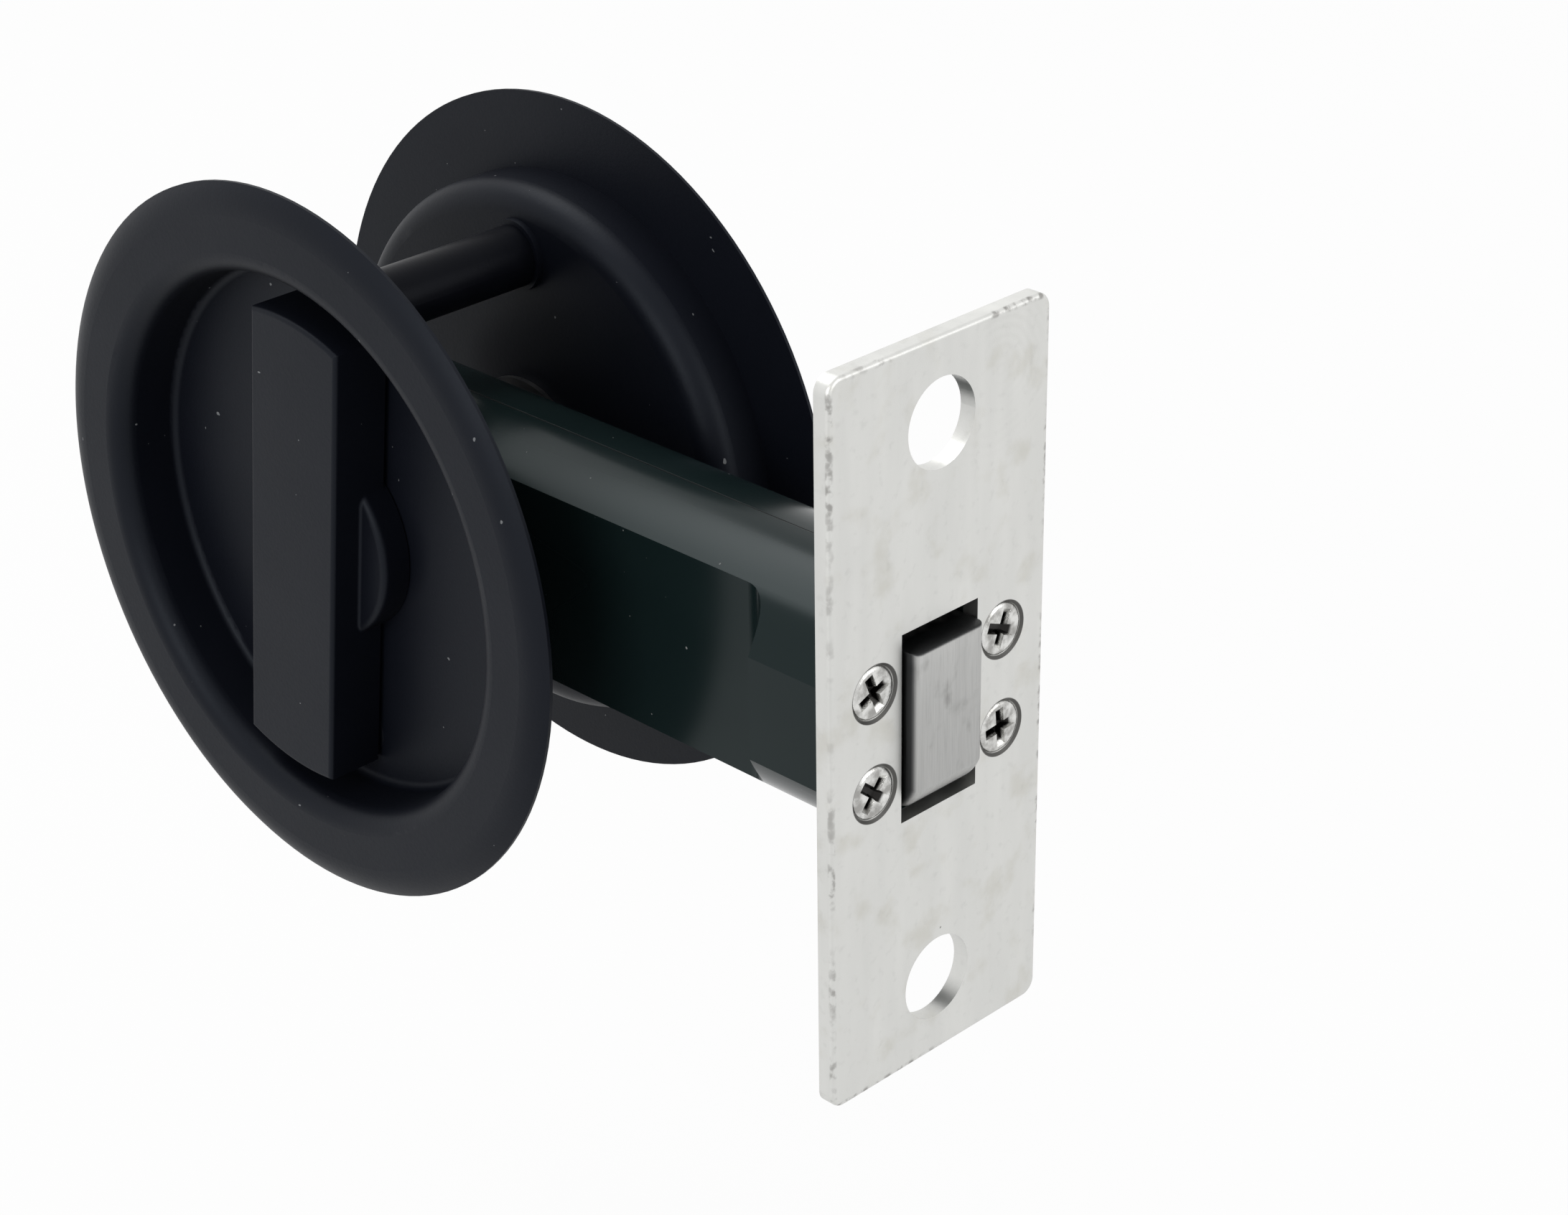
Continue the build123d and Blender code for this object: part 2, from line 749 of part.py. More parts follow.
def circlip(side):
    """Open retaining ring in a neck's groove."""
    with BuildPart() as ring:
        with BuildSketch(outward(side, -ring_front)):
            Circle(ring_r + ring_width)
            Circle(ring_r, mode=Mode.SUBTRACT)
            Rectangle(2 * neck_r, ring_opening, align=(Align.MIN, Align.CENTER), mode=Mode.SUBTRACT)
        extrude(amount=-ring_thickness)
    return ring


ring_opening = 2 * ring_r * sin(radians(ring_gap / 2))

for side_name, side in (("turn", -1), ("release", 1)):
    save(washer(side), f"{side_name}_washer")
    save(circlip(side), f"{side_name}_circlip")
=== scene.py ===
# %% [markdown]
# # A lock for a cavity sliding door
# The lock's solids come finished from the CAD model: a nickel face plate, a moulded latch case
# with a hook in it, and two black dished pulls on either side of the door.
# This lesson gives every surface its finish, models the hook and the screws again with the soft
# edges that the solids lack, and sets the picture up. Nothing of the solids is moved. Every size
# below is in millimetres unless a name says otherwise, and one factor turns it to metres.

import json
from math import acos, asin, cos, pi, radians, sin

import bmesh
import bpy
from mathutils import Matrix, Vector


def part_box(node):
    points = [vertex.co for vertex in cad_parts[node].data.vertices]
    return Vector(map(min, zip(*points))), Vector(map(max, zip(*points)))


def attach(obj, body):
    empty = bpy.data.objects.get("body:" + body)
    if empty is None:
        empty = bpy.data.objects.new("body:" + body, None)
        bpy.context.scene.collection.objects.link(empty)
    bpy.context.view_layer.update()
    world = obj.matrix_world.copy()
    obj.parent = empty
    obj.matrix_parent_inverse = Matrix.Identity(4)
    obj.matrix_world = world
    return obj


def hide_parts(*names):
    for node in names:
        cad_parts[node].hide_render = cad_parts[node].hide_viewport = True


MM = 0.001
CREASE = radians(35)  # edges sharper than this stay sharp where a piece is shaded smooth
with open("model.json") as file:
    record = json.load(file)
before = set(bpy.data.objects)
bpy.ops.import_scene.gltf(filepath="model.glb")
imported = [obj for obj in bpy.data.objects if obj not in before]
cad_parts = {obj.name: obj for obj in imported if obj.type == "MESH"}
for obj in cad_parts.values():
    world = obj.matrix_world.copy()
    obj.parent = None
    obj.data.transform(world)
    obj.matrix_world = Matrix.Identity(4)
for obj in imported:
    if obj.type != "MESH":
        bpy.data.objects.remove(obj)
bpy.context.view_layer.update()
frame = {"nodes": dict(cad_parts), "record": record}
nodes = frame["nodes"]
print("solids:", ", ".join(sorted(nodes)))

# %% Measure what the finishes need


def middle(node):
    """Centre of a node's box, in millimetres."""
    low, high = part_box(node)
    return (low + high) / (2 * MM)


def span(node):
    """Lengths of a node's box, in millimetres."""
    low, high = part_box(node)
    return (high - low) / MM


turn_x = middle("spindle").x
plate_height = span("face_plate").z
plate_width = span("face_plate").y
rose_r = span("turn_rose").x / 2
print(f"turn at x {turn_x:.1f}, plate {plate_width:.1f} by {plate_height:.1f}, pull radius {rose_r:.1f}")

# %% [markdown]
# ## Arithmetic with sockets
# A finish is a sum of small effects: grain, stains, scratches. Wiring Math nodes by hand hides
# that arithmetic, so a socket is wrapped in a small class whose signs add the nodes. The same
# class serves the Geometry Nodes trees further down, because both kinds of tree share the node.

# %% A socket that can be calculated with


class Wire:
    """An output of a node. Arithmetic on it adds Math nodes to the same tree."""

    def __init__(self, bench, output):
        self.bench = bench
        self.output = output

    def math(self, operation, *values):
        return self.bench.add("ShaderNodeMath", {"operation": operation}, dict(enumerate(values)))

    def __add__(self, other):
        return self.math("ADD", self, other)

    __radd__ = __add__

    def __sub__(self, other):
        return self.math("SUBTRACT", self, other)

    def __rsub__(self, other):
        return self.math("SUBTRACT", other, self)

    def __mul__(self, other):
        return self.math("MULTIPLY", self, other)

    __rmul__ = __mul__

    def __truediv__(self, other):
        return self.math("DIVIDE", self, other)

    def __neg__(self):
        return self.math("MULTIPLY", self, -1)

    def __abs__(self):
        return self.math("ABSOLUTE", self)

    def __pow__(self, other):
        return self.math("POWER", self, other)

    def ramp(self, start, end):
        """0 at start and before it, 1 at end and past it, with soft shoulders."""
        settings = {"interpolation_type": "SMOOTHSTEP"}
        sockets = {"Value": self, "From Min": start, "From Max": end}
        return self.bench.add("ShaderNodeMapRange", settings, sockets)


class Bench:
    """A node tree with one method that adds any node to it."""

    def __init__(self, tree):
        self.tree = tree

    def add(self, kind, settings=None, sockets=None, take=0):
        """A node of a kind, with its settings made first and then its sockets filled or linked."""
        made = self.tree.nodes.new(kind)
        for name, value in (settings or {}).items():
            setattr(made, name, value)
        for key, value in (sockets or {}).items():
            socket = made.inputs[key] if isinstance(key, int) else self.find(made.inputs, key)
            if isinstance(value, Wire):
                self.tree.links.new(value.output, socket)
            else:
                socket.default_value = value
        output = made.outputs[take] if isinstance(take, int) else self.find(made.outputs, take)
        return Wire(self, output)

    def find(self, sockets, key):
        """The enabled socket with that name or identifier."""
        return next(s for s in sockets if s.enabled and key in (s.name, s.identifier))


print("Wire and Bench are ready")

# %% [markdown]
# ## What every finish shares
# Each finish is one Principled shader on Object coordinates. A CAD piece sits at the origin, so
# Object coordinates are the model's own millimetres, once scaled. Grain that should be as fine
# on a small screw as on a large pull then only needs its size in millimetres.

# %% A finish with its coordinates and patterns


class Finish(Bench):
    """A material on the model's own millimetres, with the patterns that the finishes use."""

    def __init__(self, name):
        self.material = bpy.data.materials.new(name)
        self.material.use_nodes = True
        super().__init__(self.material.node_tree)
        self.tree.nodes.clear()
        place = self.add("ShaderNodeTexCoord", take="Object")
        to_mm = {"Vector": place, "Scale": 1 / MM}
        self.place = self.add("ShaderNodeVectorMath", {"operation": "SCALE"}, to_mm)
        axes = self.add("ShaderNodeSeparateXYZ", sockets={"Vector": self.place})
        self.x = axes
        self.y = Wire(self, axes.output.node.outputs["Y"])
        self.z = Wire(self, axes.output.node.outputs["Z"])

    def noise(self, size, detail=2.0, stretch=(1, 1, 1), shift=(0, 0, 0), roughness=0.5):
        """Noise from 0 to 1 whose lumps are about size millimetres, longer along a stretched axis."""
        scale = Vector([1 / (size * s) for s in stretch])
        mapping = {"Vector": self.place, "Location": shift, "Scale": scale}
        placed = self.add("ShaderNodeMapping", {"vector_type": "POINT"}, mapping)
        sockets = {"Vector": placed, "Scale": 1.0, "Detail": detail, "Roughness": roughness}
        return self.add("ShaderNodeTexNoise", {"noise_dimensions": "3D"}, sockets)

    def blend(self, amount, first, second):
        """A colour between two, by an amount from 0 to 1."""
        sockets = {"Factor_Float": amount, "A_Color": first, "B_Color": second}
        return self.add("ShaderNodeMix", {"data_type": "RGBA"}, sockets, take="Result_Color")

    def relief(self, height, depth, normal=None):
        """A bumped normal from a height, where 1 stands depth millimetres proud."""
        sockets = {"Height": height, "Distance": depth * MM, "Strength": 1.0}
        if normal:
            sockets["Normal"] = normal
        return self.add("ShaderNodeBump", sockets=sockets)

    def shade(self, **sockets):
        """The Principled shader and the output. Underscores in a socket's name stand for spaces."""
        named = {key.replace("_", " "): value for key, value in sockets.items()}
        shader = self.add("ShaderNodeBsdfPrincipled", sockets=named)
        self.add_output(shader)
        return self.material

    def add_output(self, shader):
        made = self.tree.nodes.new("ShaderNodeOutputMaterial")
        self.tree.links.new(shader.output, made.inputs["Surface"])


def grey(value, warmth=0.0):
    """A grey, made warmer or, below zero, cooler."""
    return (value * (1 + warmth), value, value * (1 - warmth), 1.0)


print("Finish is ready")

# %% [markdown]
# ## Black coat
# The pulls, their screws, the turn bar and the release button wear a satin black coat. It is a
# paint, so it is not metallic: most of what shows is the soft mirror image of the room. Up close
# there is a fine orange-peel grain and a scatter of dust specks, which keep the black from looking
# like a hole.

# %% Satin black coat


def black_coat():
    coat = Finish("black_coat_satin")
    grain = coat.noise(0.30, detail=3.0)
    cloud = coat.noise(8.0, detail=3.0)
    specks = coat.noise(0.60, detail=0.0, shift=(5, 2, 8)).ramp(0.882, 0.892)
    worn = coat.noise(14.0, detail=2.0, shift=(9, 3, 1))
    colour = coat.blend(cloud, (0.0030, 0.0038, 0.0068, 1), (0.0052, 0.0060, 0.0100, 1))
    colour = coat.blend(specks * 0.6, colour, grey(0.30, -0.03))
    return coat.shade(
        Base_Color=colour,
        Roughness=0.38 + 0.08 * grain + 0.10 * worn,
        Specular_IOR_Level=0.16,
        Specular_Tint=(0.82, 0.90, 1.0, 1),
        Normal=coat.relief(grain + 0.5 * specks, 0.010),
    )


coat = black_coat()
print("made", coat.name)

# %% [markdown]
# ## Blackened posts
# The two posts between the pulls are turned from bar and only blackened, not painted. They are
# darker and tighter in their gloss than the coat, and fine rings run round them from the tool.

# %% Blackened steel with turning rings


def post_black():
    steel = Finish("post_blackened")
    rings = steel.noise(0.16, detail=1.0, stretch=(30, 1, 30))
    film = steel.noise(3.0, detail=3.0)
    colour = steel.blend(film, (0.0022, 0.0026, 0.0042, 1), (0.0046, 0.0050, 0.0074, 1))
    return steel.shade(
        Base_Color=colour,
        Roughness=0.26 + 0.10 * film + 0.06 * rings,
        Specular_IOR_Level=0.07,
        Specular_Tint=(0.86, 0.90, 1.0, 1),
        Normal=steel.relief(rings, 0.006),
    )


blackened = post_black()
print("made", blackened.name)

# %% [markdown]
# ## Moulded case
# The two case halves are moulded in a green-black plastic with a polished skin, so the light
# above runs along the top as one clean streak. The halves meet on y = 0, where a hair-fine
# line shows. A parting line is drawn as a narrow groove in the bump, not as more geometry.

# %% Green-black plastic with its parting line


def case_plastic():
    skin = Finish("case_plastic_green_black")
    seam_half = 0.09
    seam = 1 - abs(skin.y).ramp(0.35 * seam_half, seam_half)
    ripple = skin.noise(9.0, detail=1.0, stretch=(3, 1, 1))
    film = skin.noise(6.0, detail=1.0, stretch=(2, 1, 1), shift=(6, 2, 4))
    dust = skin.noise(0.55, detail=0.0, shift=(3, 8, 1)).ramp(0.872, 0.884)
    colour = skin.blend(ripple, (0.0052, 0.0108, 0.0112, 1), (0.0080, 0.0155, 0.0158, 1))
    colour = skin.blend(dust * 0.7, colour, grey(0.30))
    colour = skin.blend(seam, colour, grey(0.002))
    bumps = skin.relief(-seam, 0.05)
    return skin.shade(
        Base_Color=colour,
        Roughness=0.17 + 0.07 * film + 0.3 * seam + 0.3 * dust,
        Specular_IOR_Level=0.17,
        Specular_Tint=(0.86, 0.98, 1.0, 1),
        Normal=bumps,
    )


plastic = case_plastic()
print("made", plastic.name)

# %% [markdown]
# ## Satin nickel plate
# The plate is plated and then handled: it is a bright metal with soft smears running down it,
# a few warm stains and tiny dark pits. Metal has no colour of its own to stain, so the stains
# act on its reflection colour, and the smears mostly on its roughness.

# %% Satin nickel with smears and pits
screw_y = 7.35
screw_z = 4.42
screw_gap_r = 2.40
swirl_y = 6.5
swirl_drop = 5.0


def plate_nickel():
    metal = Finish("plate_nickel_satin")
    smear = metal.noise(2.0, detail=3.0, stretch=(1, 1, 6))
    patch = metal.noise(9.0, detail=2.0, shift=(3, 1, 4))
    grime = metal.noise(0.9, detail=4.0, shift=(6, 6, 2))
    stain = metal.noise(4.2, detail=5.0, shift=(11, 4, 2)).ramp(0.52, 0.72)
    pits = metal.noise(1.1, detail=1.0, shift=(2, 7, 5)).ramp(0.835, 0.850)
    grain = metal.noise(0.10, detail=2.0)

    # Painted shade rings each small screw's gap; dirt gathers in nicks along the front's outer edges
    from_y = abs(abs(metal.y) - screw_y)
    from_z = abs(abs(metal.z) - screw_z)
    off_screw = (from_y * from_y + from_z * from_z) ** 0.5
    screw_gap_shade = 1 - abs(off_screw - screw_gap_r).ramp(0.09, 0.17)
    rim_y = (abs(metal.y) + 0.25 * grime).ramp(plate_width / 2 - 0.45, plate_width / 2 - 0.10)
    rim_z = (abs(metal.z) + 0.25 * grime).ramp(plate_height / 2 - 0.45, plate_height / 2 - 0.10)
    front = metal.x.ramp(-0.45, -0.20)
    rim = rim_y.math("MAXIMUM", rim_y, rim_z) * front
    nicks = rim * grime.ramp(0.44, 0.62) * patch.ramp(0.40, 0.62)

    # A finger's swirl near the top corner shows only in the gloss
    swirl_centre = (0.0, swirl_y, plate_height / 2 - swirl_drop)
    from_swirl = metal.add(
        "ShaderNodeVectorMath", {"operation": "SUBTRACT"}, {0: metal.place, 1: swirl_centre}
    )
    rings = {"Vector": from_swirl, "Scale": 0.40, "Distortion": 9.0, "Detail": 3.0, "Detail Scale": 0.25}
    ridges = metal.add(
        "ShaderNodeTexWave", {"wave_type": "RINGS", "rings_direction": "X"}, rings, take="Fac"
    )
    reach = metal.add("ShaderNodeVectorMath", {"operation": "LENGTH"}, {0: from_swirl}, take="Value")
    swirl = ridges * (1 - reach.ramp(3.0, 8.5)) * patch.ramp(0.35, 0.60)

    colour = metal.blend(smear, (0.630, 0.632, 0.612, 1), (0.730, 0.730, 0.708, 1))
    colour = metal.blend(stain * 0.30, colour, (0.47, 0.45, 0.375, 1))
    colour = metal.blend(grime.ramp(0.55, 0.75) * 0.16, colour, (0.40, 0.40, 0.385, 1))
    colour = metal.blend(swirl * 0.10, colour, (0.42, 0.42, 0.40, 1))
    # painted shade: a nearly black ring in the gap round each small screw's head
    colour = metal.blend(screw_gap_shade * 0.92, colour, (0.05, 0.048, 0.045, 1))
    colour = metal.blend(nicks * 0.65, colour, (0.14, 0.13, 0.12, 1))
    colour = metal.blend(pits * 0.8, colour, (0.10, 0.095, 0.085, 1))
    return metal.shade(
        Base_Color=colour,
        Metallic=1.0,
        Roughness=0.30 + 0.10 * patch + 0.12 * smear + 0.10 * swirl + 0.2 * pits,
        Normal=metal.relief(grain - pits - nicks, 0.008),
    )


nickel = plate_nickel()
print("made", nickel.name)

# %% [markdown]
# ## Screws, hook and working parts
# The screws are plated bright and gone patchy, with painted shade in their crosses and under their
# heads' rims. The hook is cast zinc, brushed up and down by hand, and painted dark beside its face
# and on top as shade where it sits in the plate's window. The parts inside are plain pressed steel
# and zinc, seen only when the lock is opened.

# %% Bright nickel on the small screws


def screw_nickel():
    metal = Finish("screw_nickel_bright")
    grain = metal.noise(0.12, detail=2.0)
    tarnish = metal.noise(1.1, detail=4.0)
    # painted shade: the cross and the cone below the head's rim turn nearly black
    recess_shade = 1 - metal.x.ramp(-0.42, -0.25)
    colour = metal.blend(tarnish.ramp(0.35, 0.65), (0.36, 0.355, 0.34, 1), (0.74, 0.74, 0.72, 1))
    colour = metal.blend(recess_shade * 0.98, colour, (0.016, 0.015, 0.014, 1))
    return metal.shade(
        Base_Color=colour,
        Metallic=1.0,
        Roughness=0.16 + 0.16 * tarnish,
        Normal=metal.relief(grain + 2.0 * tarnish, 0.012),
    )


bright_nickel = screw_nickel()
print("made", bright_nickel.name)

# %% Brushed zinc on the hook
hook_half_width = 4.0
hook_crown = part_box("hook_bolt")[1].z / MM


def bolt_zinc():
    metal = Finish("bolt_zinc_brushed")
    strokes = metal.noise(0.10, detail=3.0, stretch=(1, 1, 40))
    broad = metal.noise(0.7, detail=2.0, stretch=(1, 1, 14))
    dirt = metal.noise(2.6, detail=4.0, stretch=(1, 1, 1.6), shift=(4, 9, 1)).ramp(0.56, 0.74)
    colour = metal.blend(broad, (0.40, 0.40, 0.392, 1), (0.50, 0.50, 0.49, 1))
    colour = metal.blend(strokes.ramp(0.45, 0.75) * 0.25, colour, (0.24, 0.24, 0.235, 1))
    colour = metal.blend(dirt * 0.45, colour, (0.14, 0.137, 0.13, 1))

    # Painted shade darkens the top and both sides near the face, about as far back as the window reaches
    flanks = abs(metal.y).ramp(hook_half_width - 0.36, hook_half_width - 0.02)
    crown = metal.z.ramp(hook_crown - 0.30, hook_crown - 0.04)
    shade_edge_noise = metal.noise(1.3, detail=5.0, shift=(2, 5, 7))
    by_face = (metal.x + 2.4 * shade_edge_noise).ramp(-1.7, 0.1)
    painted_gap_shade = flanks.math("MAXIMUM", flanks, crown) * by_face
    # painted shade, nearly black, on the flanks and top near the face
    colour = metal.blend(painted_gap_shade * 0.94, colour, (0.012, 0.013, 0.015, 1))
    return metal.shade(
        Base_Color=colour,
        Metallic=1.0,
        Roughness=0.34 + 0.16 * strokes + 0.12 * dirt,
        Normal=metal.relief(strokes + 0.4 * broad, 0.012),
    )


brushed_zinc = bolt_zinc()
print("made", brushed_zinc.name)

# %% Steel and zinc inside the case


def inner_steel():
    metal = Finish("inner_steel_pressed")
    rolled = metal.noise(0.25, detail=2.0, stretch=(20, 1, 1))
    film = metal.noise(4.0, detail=3.0)
    colour = metal.blend(film, (0.42, 0.42, 0.43, 1), (0.55, 0.55, 0.55, 1))
    return metal.shade(
        Base_Color=colour, Metallic=1.0, Roughness=0.30 + 0.2 * film, Normal=metal.relief(rolled, 0.006)
    )


def spring_steel():
    metal = Finish("spring_steel_blued")
    film = metal.noise(1.8, detail=3.0)
    colour = metal.blend(film, (0.11, 0.115, 0.13, 1), (0.20, 0.20, 0.195, 1))
    grain = metal.noise(0.12)
    return metal.shade(
        Base_Color=colour, Metallic=1.0, Roughness=0.26 + 0.15 * film, Normal=metal.relief(grain, 0.004)
    )


def hub_zinc():
    metal = Finish("hub_zinc_cast")
    skin = metal.noise(0.35, detail=3.0)
    film = metal.noise(3.0, detail=2.0)
    colour = metal.blend(film, (0.40, 0.40, 0.40, 1), (0.52, 0.52, 0.51, 1))
    return metal.shade(
        Base_Color=colour, Metallic=1.0, Roughness=0.42 + 0.15 * skin, Normal=metal.relief(skin, 0.02)
    )


finishes = {
    "black_coat": coat,
    "case_plastic": plastic,
    "plate_nickel": nickel,
    "screw_nickel": bright_nickel,
    "bolt_zinc": brushed_zinc,
    "inner_steel": inner_steel(),
    "spring_steel": spring_steel(),
    "hub_zinc": hub_zinc(),
}
print("finishes:", ", ".join(finishes))

# %% Give every solid its finish
for name, solid in nodes.items():
    for material_slot in solid.material_slots:
        plain = material_slot.material.name.split(".")[0]
        material_slot.material = blackened if name == "fixing_posts" else finishes[plain]
        print(name, "gets", material_slot.material.name)

# %% [markdown]
# ## Hook with a tumbled face
# The hook is cast zinc, and it leaves the tumbling barrel with soft edges all over, while most of
# the solid's edges are sharp. So the hook is modelled again from the same sizes: its side outline
# is drawn about the pivot and pulled out to the hook's width, one bevel rounds both sides of the
# face, and a smaller one softens the rest. Under the face the heel is an arc about the pivot, so
# it comes no nearer to the floor of the case's mouth as the hook swings.

# %% Side outline of the hook about its pivot
hook_low_corner, hook_high_corner = (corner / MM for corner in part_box("hook_bolt"))
hook_joint = next(joint for joint in frame["record"]["behaviour"]["joints"] if joint["name"] == "hook_swing")
pivot = Vector(hook_joint["pos_m"]) / MM
hook_front = hook_high_corner.x - pivot.x
hook_top = hook_high_corner.z - pivot.z
heel_r = 4.5
heel_low = 3.5
arm_thick = 2.6
arm_back = hook_front - arm_thick
claw_thick = 3.2
claw_under = hook_top - claw_thick
claw_reach = 4.5
tail_r = 1.9
pin_x = middle("hook_drive_pin").x - pivot.x


def arc(radius, start, end, steps):
    """Points about the pivot, with angles counted upward from straight out of the door."""
    angles = [start + (end - start) * step / steps for step in range(steps + 1)]
    return [(radius * cos(angle), radius * sin(angle)) for angle in angles]


def hook_outline():
    """Corners of the hook's side, with x out of the door and y up, once round."""
    upright = pi / 2
    claw = arc(hook_top, upright, upright + asin(claw_reach / hook_top), 8)
    inner = [(-claw_reach, claw_under), (arm_back, claw_under), (arm_back, tail_r)]
    tail = [(pin_x + x, y) for x, y in arc(tail_r, upright, upright + pi, 12)]
    heel = arc(heel_r, -asin(heel_low / heel_r), -acos(hook_front / heel_r), 8)
    return claw + inner + tail + [(0, -heel_low)] + heel + [(hook_front, hook_top)]


print("outline of", len(hook_outline()), "corners")
print("the drive pin is", round(-pin_x, 2), "mm behind the pivot")

# %% Pull the outline out and round the face
face_round = 0.8
face_round_steps = 6


def hook_blank():
    """The hook without its slot: a mesh with its place in it, in metres."""
    shape = bmesh.new()
    near = [shape.verts.new((pivot + Vector((x, -hook_half_width, z))) * MM) for x, z in hook_outline()]
    shape.faces.new(near)
    pulled = bmesh.ops.extrude_face_region(shape, geom=shape.faces[:])
    moved = [item for item in pulled["geom"] if isinstance(item, bmesh.types.BMVert)]
    bmesh.ops.translate(shape, verts=moved, vec=(0, 2 * hook_half_width * MM, 0))
    bmesh.ops.recalc_face_normals(shape, faces=shape.faces)
    tiny = 0.001

    def on_front(corner):
        """Whether a corner is on the face or on the heel below it."""
        x, y, z = corner.co / MM - pivot
        return abs(x - hook_front) < tiny or abs(Vector((x, z)).length - heel_r) < tiny

    def beside_face(edge):
        """Whether an edge runs down one side of the face, and not across it."""
        first, second = edge.verts
        across = abs(first.co.y - second.co.y) > tiny * MM
        return on_front(first) and on_front(second) and not across

    face_edges = [edge for edge in shape.edges if beside_face(edge)]
    bmesh.ops.bevel(
        shape, geom=face_edges, offset=face_round * MM, offset_type="OFFSET",
        segments=face_round_steps, profile=0.5, affect="EDGES",
    )
    mesh = bpy.data.meshes.new("hook_blank")
    shape.to_mesh(mesh)
    shape.free()
    print("face edges rounded:", len(face_edges))
    return mesh


def cutter(name, build):
    """A helper object for a Boolean, made by a bmesh function."""
    shape = bmesh.new()
    build(shape)
    mesh = bpy.data.meshes.new(name)
    shape.to_mesh(mesh)
    shape.free()
    made = bpy.data.objects.new(name, mesh)
    bpy.context.scene.collection.objects.link(made)
    return made


# %% Cut the slot and the pin's hole, add the trunnions
slot_half_width = 1.3
slot_front = 2.5
slot_top = 5.18
pin_hole_r = 0.92
trunnion_r = 1.2
rod_sides = 40
edge_round = 0.22
rounded_from = radians(50)  # an edge flatter than this is left alone
trunnion_end = (hook_high_corner.y - hook_low_corner.y) / 2


def slot_block(shape):
    size = Vector((3 * hook_top, 2 * slot_half_width, 3 * hook_top))
    centre = pivot + Vector((slot_front - size.x / 2, 0, slot_top - size.z / 2))
    placed = Matrix.Translation(centre * MM) @ Matrix.Diagonal((size * MM).to_4d())
    bmesh.ops.create_cube(shape, size=1.0, matrix=placed)


def rod(radius, half_length, at):
    """A function that makes a rod across the hook, about a point."""
    turn = Matrix.Rotation(pi / 2, 4, "X")

    def build(shape):
        bmesh.ops.create_cone(
            shape, cap_ends=True, segments=rod_sides, radius1=radius * MM, radius2=radius * MM,
            depth=2 * half_length * MM, matrix=Matrix.Translation(at * MM) @ turn,
        )

    return build


pin_at = pivot + Vector((pin_x, 0, 0))
cuts = (
    ("UNION", cutter("hook_trunnions", rod(trunnion_r, trunnion_end, pivot))),
    ("DIFFERENCE", cutter("hook_slot", slot_block)),
    ("DIFFERENCE", cutter("hook_pin_hole", rod(pin_hole_r, 2 * hook_half_width, pin_at))),
)
hook = bpy.data.objects.new("hook_tumbled", hook_blank())
bpy.context.scene.collection.objects.link(hook)
soft_edges = hook.modifiers.new("soft_edges", "BEVEL")
soft_edges.width = edge_round * MM
soft_edges.segments = 2
soft_edges.limit_method = "ANGLE"
soft_edges.angle_limit = rounded_from
for operation, tool in cuts:
    cut = hook.modifiers.new(tool.name, "BOOLEAN")
    cut.operation = operation
    cut.object = tool
    cut.solver = "EXACT"
finished = bpy.data.meshes.new_from_object(hook.evaluated_get(bpy.context.evaluated_depsgraph_get()))
hook.modifiers.clear()
hook.data = finished
for _, tool in cuts:
    bpy.data.objects.remove(tool)
finished.materials.clear()
finished.materials.append(finishes["bolt_zinc"])
finished.shade_smooth()
finished.set_sharp_from_angle(angle=CREASE)
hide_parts("hook_bolt")
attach(hook, "hook")
print(f"hook_tumbled: {len(finished.polygons)} faces")

# %% [markdown]
# ## Countersunk screws
# Four small screws hold the plate and two larger ones hold the near pull, and they differ only
# in size and in how far each was turned. That is work for Geometry Nodes: one tree makes a
# screw from its sizes, and puts it on every point of a little mesh that carries the angles.
# The head is a stack of open cones, so that its rim is rounded, and a cross is cut into it.

# %% A Geometry Nodes tree with named inputs


class Pattern(Bench):
    """A Geometry Nodes tree. Its inputs are named, and are wires once it is made."""

    def __init__(self, name, sizes, vectors=()):
        super().__init__(bpy.data.node_groups.new(name, "GeometryNodeTree"))
        face = self.tree.interface
        face.new_socket("Geometry", in_out="INPUT", socket_type="NodeSocketGeometry")
        face.new_socket("Geometry", in_out="OUTPUT", socket_type="NodeSocketGeometry")
        face.new_socket("Finish", in_out="INPUT", socket_type="NodeSocketMaterial")
        for size in sizes:
            face.new_socket(size, in_out="INPUT", socket_type="NodeSocketFloat")
        for vector in vectors:
            face.new_socket(vector, in_out="INPUT", socket_type="NodeSocketVector")
        entry = self.tree.nodes.new("NodeGroupInput")
        self.given = {socket.name: Wire(self, socket) for socket in entry.outputs if socket.name}

    def close(self, shape):
        """End the tree: real geometry, its finish, and the way out."""
        real = self.add("GeometryNodeRealizeInstances", sockets={"Geometry": shape})
        finish = {"Geometry": real, "Material": self.given["Finish"]}
        done = self.add("GeometryNodeSetMaterial", sockets=finish)
        way_out = self.tree.nodes.new("NodeGroupOutput")
        self.tree.links.new(done.output, way_out.inputs[0])

    def grow(self, name, points, turns, values):
        """A plain mesh object from the tree, on points in millimetres that carry an angle in degrees."""
        seeds = bpy.data.meshes.new(name + "_points")
        seeds.from_pydata([Vector(point) * MM for point in points], [], [])
        angles = seeds.attributes.new("turned", "FLOAT", "POINT")
        angles.data.foreach_set("value", [radians(turn) for turn in turns])
        piece = bpy.data.objects.new(name, seeds)
        bpy.context.scene.collection.objects.link(piece)
        modifier = piece.modifiers.new("pattern", "NODES")
        modifier.node_group = self.tree
        for socket in self.tree.interface.items_tree:
            if socket.in_out == "INPUT" and socket.name in values:
                modifier[socket.identifier] = values[socket.name]
        whole = piece.evaluated_get(bpy.context.evaluated_depsgraph_get())
        mesh = bpy.data.meshes.new_from_object(whole)
        piece.modifiers.clear()
        piece.data = mesh
        mesh.name = name
        mesh.set_sharp_from_angle(angle=CREASE)
        print(f"{name}: {len(mesh.polygons)} faces")
        return piece


print("Pattern is ready")

# %% The tree of one screw


